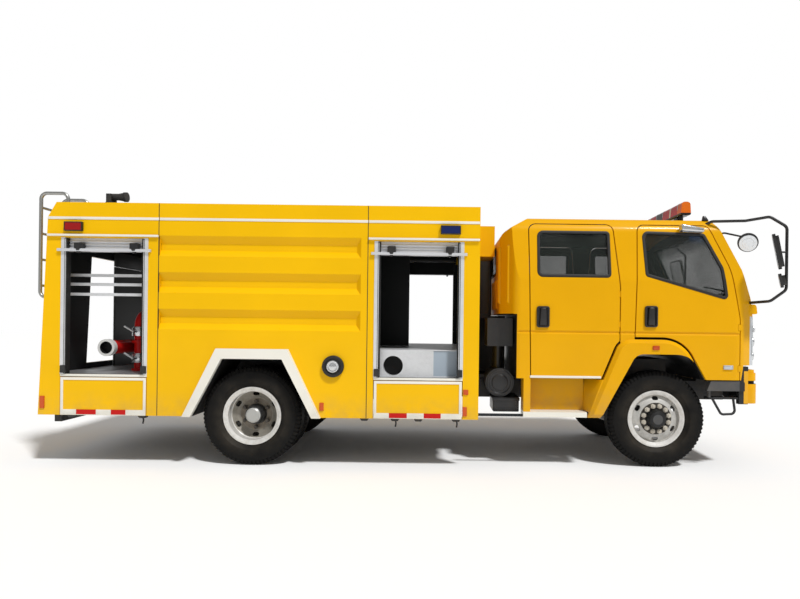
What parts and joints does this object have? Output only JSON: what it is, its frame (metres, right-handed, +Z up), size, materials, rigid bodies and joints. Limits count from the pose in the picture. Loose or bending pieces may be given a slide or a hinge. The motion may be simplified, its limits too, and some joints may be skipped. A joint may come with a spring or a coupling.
{
  "type": "foam fire truck",
  "caption": "Crew-cab foam fire truck with side lockers, grooved tank sides, pump room, roof monitor, rear ladder, light bar, opening doors, flaps and steering.",
  "frame": {"origin": "on the ground under the middle of the whole truck's box", "axes": "+X forward, +Y to the truck's left, +Z up"},
  "size_m": [7.376, 2.5922, 2.792],
  "materials": {
    "yellow_paint": "gloss",
    "black_steel": "satin",
    "cast_iron": "rough",
    "tyre": "matt",
    "wheel_paint": "satin",
    "aluminium": "satin",
    "glass": "gloss",
    "red_paint": "gloss",
    "black_plastic": "matt",
    "grey_plastic": "matt",
    "white_trim": "gloss",
    "lens": "gloss",
    "clear_lens": "gloss",
    "seat_cloth": "matt"
  },
  "bodies": {
    "truck": {"chassis_frame": "black_steel", "front_axle": "black_steel", "leaf_springs": "black_steel", "rear_axle": "black_steel", "engine": "cast_iron", "air_tank_and_silencer": "black_steel", "fuel_tank": "aluminium", "air_cleaner": "black_plastic", "body_floor": "aluminium", "pump_room_sides": "yellow_paint", "locker_sides": "yellow_paint", "tank_sides": "yellow_paint", "arch_trims": "white_trim", "wheel_housings": "black_plastic", "foam_tank": "black_steel", "body_roof": "aluminium", "end_walls": "yellow_paint", "shutters": "aluminium", "shutter_posts": "aluminium", "locker_fittings": "aluminium", "fire_pump": "red_paint", "ladder": "aluminium", "monitor_base": "black_steel", "cab_glass": "glass", "headlamps": "clear_lens", "grille": "black_plastic", "cab_shell": "yellow_paint", "front_fenders": "yellow_paint", "cab_steps": "yellow_paint", "front_bumper": "yellow_paint", "corner_steps": "grey_plastic", "light_bar": "lens", "mirrors": "black_plastic", "seats": "seat_cloth", "dashboard": "black_plastic", "side_lamps": "lens"},
    "knuckle_right": {"knuckle_right": "cast_iron"},
    "front_wheel_right": {"front_rim_right": "wheel_paint", "front_tyre_right": "tyre"},
    "rear_wheels_right": {"rear_rims_right": "wheel_paint", "rear_tyres_right": "tyre"},
    "door_front_right": {"door_front_right": "yellow_paint", "door_glass_front_right": "glass"},
    "door_rear_right": {"door_rear_right": "yellow_paint", "door_glass_rear_right": "glass"},
    "flap_rear_right": {"flap_rear_right": "yellow_paint"},
    "flap_front_right": {"flap_front_right": "yellow_paint"},
    "knuckle_left": {"knuckle_left": "cast_iron"},
    "front_wheel_left": {"front_rim_left": "wheel_paint", "front_tyre_left": "tyre"},
    "rear_wheels_left": {"rear_rims_left": "wheel_paint", "rear_tyres_left": "tyre"},
    "door_front_left": {"door_front_left": "yellow_paint", "door_glass_front_left": "glass"},
    "door_rear_left": {"door_rear_left": "yellow_paint", "door_glass_rear_left": "glass"},
    "flap_rear_left": {"flap_rear_left": "yellow_paint"},
    "flap_front_left": {"flap_front_left": "yellow_paint"},
    "monitor_turret": {"monitor_turret": "black_steel"},
    "monitor_barrel": {"monitor_barrel": "black_steel"}
  },
  "joints": [
    {"name": "steer_right", "type": "hinge", "parent": "truck", "child": "knuckle_right", "pos_m": [2.529, -0.735, 0.487], "axis": [0, 0, 1], "range_deg": [-32, 32]},
    {"name": "front_wheel_right_spin", "type": "hinge", "parent": "knuckle_right", "child": "front_wheel_right", "pos_m": [2.529, -0.84, 0.487], "axis": [0, 1, 0], "continuous": true},
    {"name": "rear_wheels_right_spin", "type": "hinge", "parent": "truck", "child": "rear_wheels_right", "pos_m": [-1.521, -0.825, 0.487], "axis": [0, 1, 0], "continuous": true},
    {"name": "door_front_right_swing", "type": "hinge", "parent": "truck", "child": "door_front_right", "pos_m": [3.309, -1.02, 1.4], "axis": [0, 0, 1], "range_deg": [0, 70]},
    {"name": "door_rear_right_swing", "type": "hinge", "parent": "truck", "child": "door_rear_right", "pos_m": [2.109, -1.02, 1.4], "axis": [0, 0, 1], "range_deg": [0, 70]},
    {"name": "flap_rear_right_fold", "type": "hinge", "parent": "truck", "child": "flap_rear_right", "pos_m": [-2.945, -1.138, 0.504], "axis": [1, 0, 0], "range_deg": [0, 90]},
    {"name": "flap_front_right_fold", "type": "hinge", "parent": "truck", "child": "flap_front_right", "pos_m": [0.122, -1.138, 0.504], "axis": [1, 0, 0], "range_deg": [0, 90]},
    {"name": "steer_left", "type": "hinge", "parent": "truck", "child": "knuckle_left", "pos_m": [2.529, 0.735, 0.487], "axis": [0, 0, 1], "range_deg": [-32, 32]},
    {"name": "front_wheel_left_spin", "type": "hinge", "parent": "knuckle_left", "child": "front_wheel_left", "pos_m": [2.529, 0.84, 0.487], "axis": [0, 1, 0], "continuous": true},
    {"name": "rear_wheels_left_spin", "type": "hinge", "parent": "truck", "child": "rear_wheels_left", "pos_m": [-1.521, 0.825, 0.487], "axis": [0, 1, 0], "continuous": true},
    {"name": "door_front_left_swing", "type": "hinge", "parent": "truck", "child": "door_front_left", "pos_m": [3.309, 1.02, 1.4], "axis": [0, 0, -1], "range_deg": [0, 70]},
    {"name": "door_rear_left_swing", "type": "hinge", "parent": "truck", "child": "door_rear_left", "pos_m": [2.109, 1.02, 1.4], "axis": [0, 0, -1], "range_deg": [0, 70]},
    {"name": "flap_rear_left_fold", "type": "hinge", "parent": "truck", "child": "flap_rear_left", "pos_m": [-2.945, 1.138, 0.504], "axis": [-1, 0, 0], "range_deg": [0, 90]},
    {"name": "flap_front_left_fold", "type": "hinge", "parent": "truck", "child": "flap_front_left", "pos_m": [0.122, 1.138, 0.504], "axis": [-1, 0, 0], "range_deg": [0, 90]},
    {"name": "monitor_turn", "type": "hinge", "parent": "truck", "child": "monitor_turret", "pos_m": [-3.211, -0.56, 2.63], "axis": [0, 0, 1], "range_deg": [-170, 170]},
    {"name": "monitor_raise", "type": "hinge", "parent": "monitor_turret", "child": "monitor_barrel", "pos_m": [-3.211, -0.56, 2.74], "axis": [0, -1, 0], "range_deg": [-10, 70]}
  ],
  "couplings": [
    {"joint": "steer_left", "follows": "steer_right", "ratio": 1}
  ]
}
